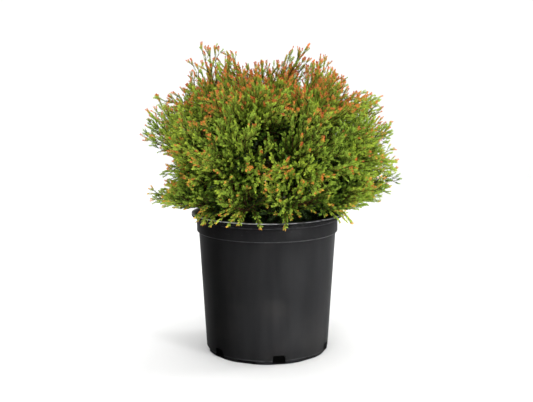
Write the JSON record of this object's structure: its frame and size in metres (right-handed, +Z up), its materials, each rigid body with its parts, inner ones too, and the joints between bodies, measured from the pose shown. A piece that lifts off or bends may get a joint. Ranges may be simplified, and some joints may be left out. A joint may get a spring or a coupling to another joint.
{
  "type": "potted arborvitae",
  "caption": "Dwarf globe arborvitae with ascending fan-shaped sprays, rust-tipped over green, growing in a black plastic nursery pot with a stepped collar and drain slots.",
  "frame": {"origin": "centre of the pot's flat underside, on the surface that the pot stands on", "axes": "+Z up along the pot's axis; -Y is the side that faces the picture's camera, +X is to its right"},
  "size_m": [0.4558, 0.4439, 0.5509],
  "materials": {
    "pot_plastic": "satin",
    "potting_mix": "matte",
    "bark": "matte",
    "foliage": "matte"
  },
  "bodies": {
    "root": {"pot": "pot_plastic", "potting_mix": "potting_mix", "trunk": "bark", "bough_skirt_0": "bark", "bough_skirt_1": "bark", "bough_skirt_2": "bark", "bough_skirt_3": "bark", "bough_skirt_4": "bark", "bough_skirt_5": "bark", "bough_skirt_6": "bark", "bough_skirt_7": "bark", "bough_skirt_8": "bark", "bough_skirt_9": "bark", "bough_middle_0": "bark", "bough_middle_1": "bark", "bough_middle_2": "bark", "bough_middle_3": "bark", "bough_middle_4": "bark", "bough_middle_5": "bark", "bough_middle_6": "bark", "bough_middle_7": "bark", "bough_middle_8": "bark", "bough_upper_0": "bark", "bough_upper_1": "bark", "bough_upper_2": "bark", "bough_upper_3": "bark", "bough_upper_4": "bark", "bough_leader": "bark", "foliage_skirt_0": "foliage", "foliage_skirt_1": "foliage", "foliage_skirt_2": "foliage", "foliage_skirt_3": "foliage", "foliage_skirt_4": "foliage", "foliage_skirt_5": "foliage", "foliage_skirt_6": "foliage", "foliage_skirt_7": "foliage", "foliage_skirt_8": "foliage", "foliage_skirt_9": "foliage", "foliage_middle_0": "foliage", "foliage_middle_1": "foliage", "foliage_middle_2": "foliage", "foliage_middle_3": "foliage", "foliage_middle_4": "foliage", "foliage_middle_5": "foliage", "foliage_middle_6": "foliage", "foliage_middle_7": "foliage", "foliage_middle_8": "foliage", "foliage_upper_0": "foliage", "foliage_upper_1": "foliage", "foliage_upper_2": "foliage", "foliage_upper_3": "foliage", "foliage_upper_4": "foliage", "foliage_leader": "foliage"}
  },
  "joints": []
}
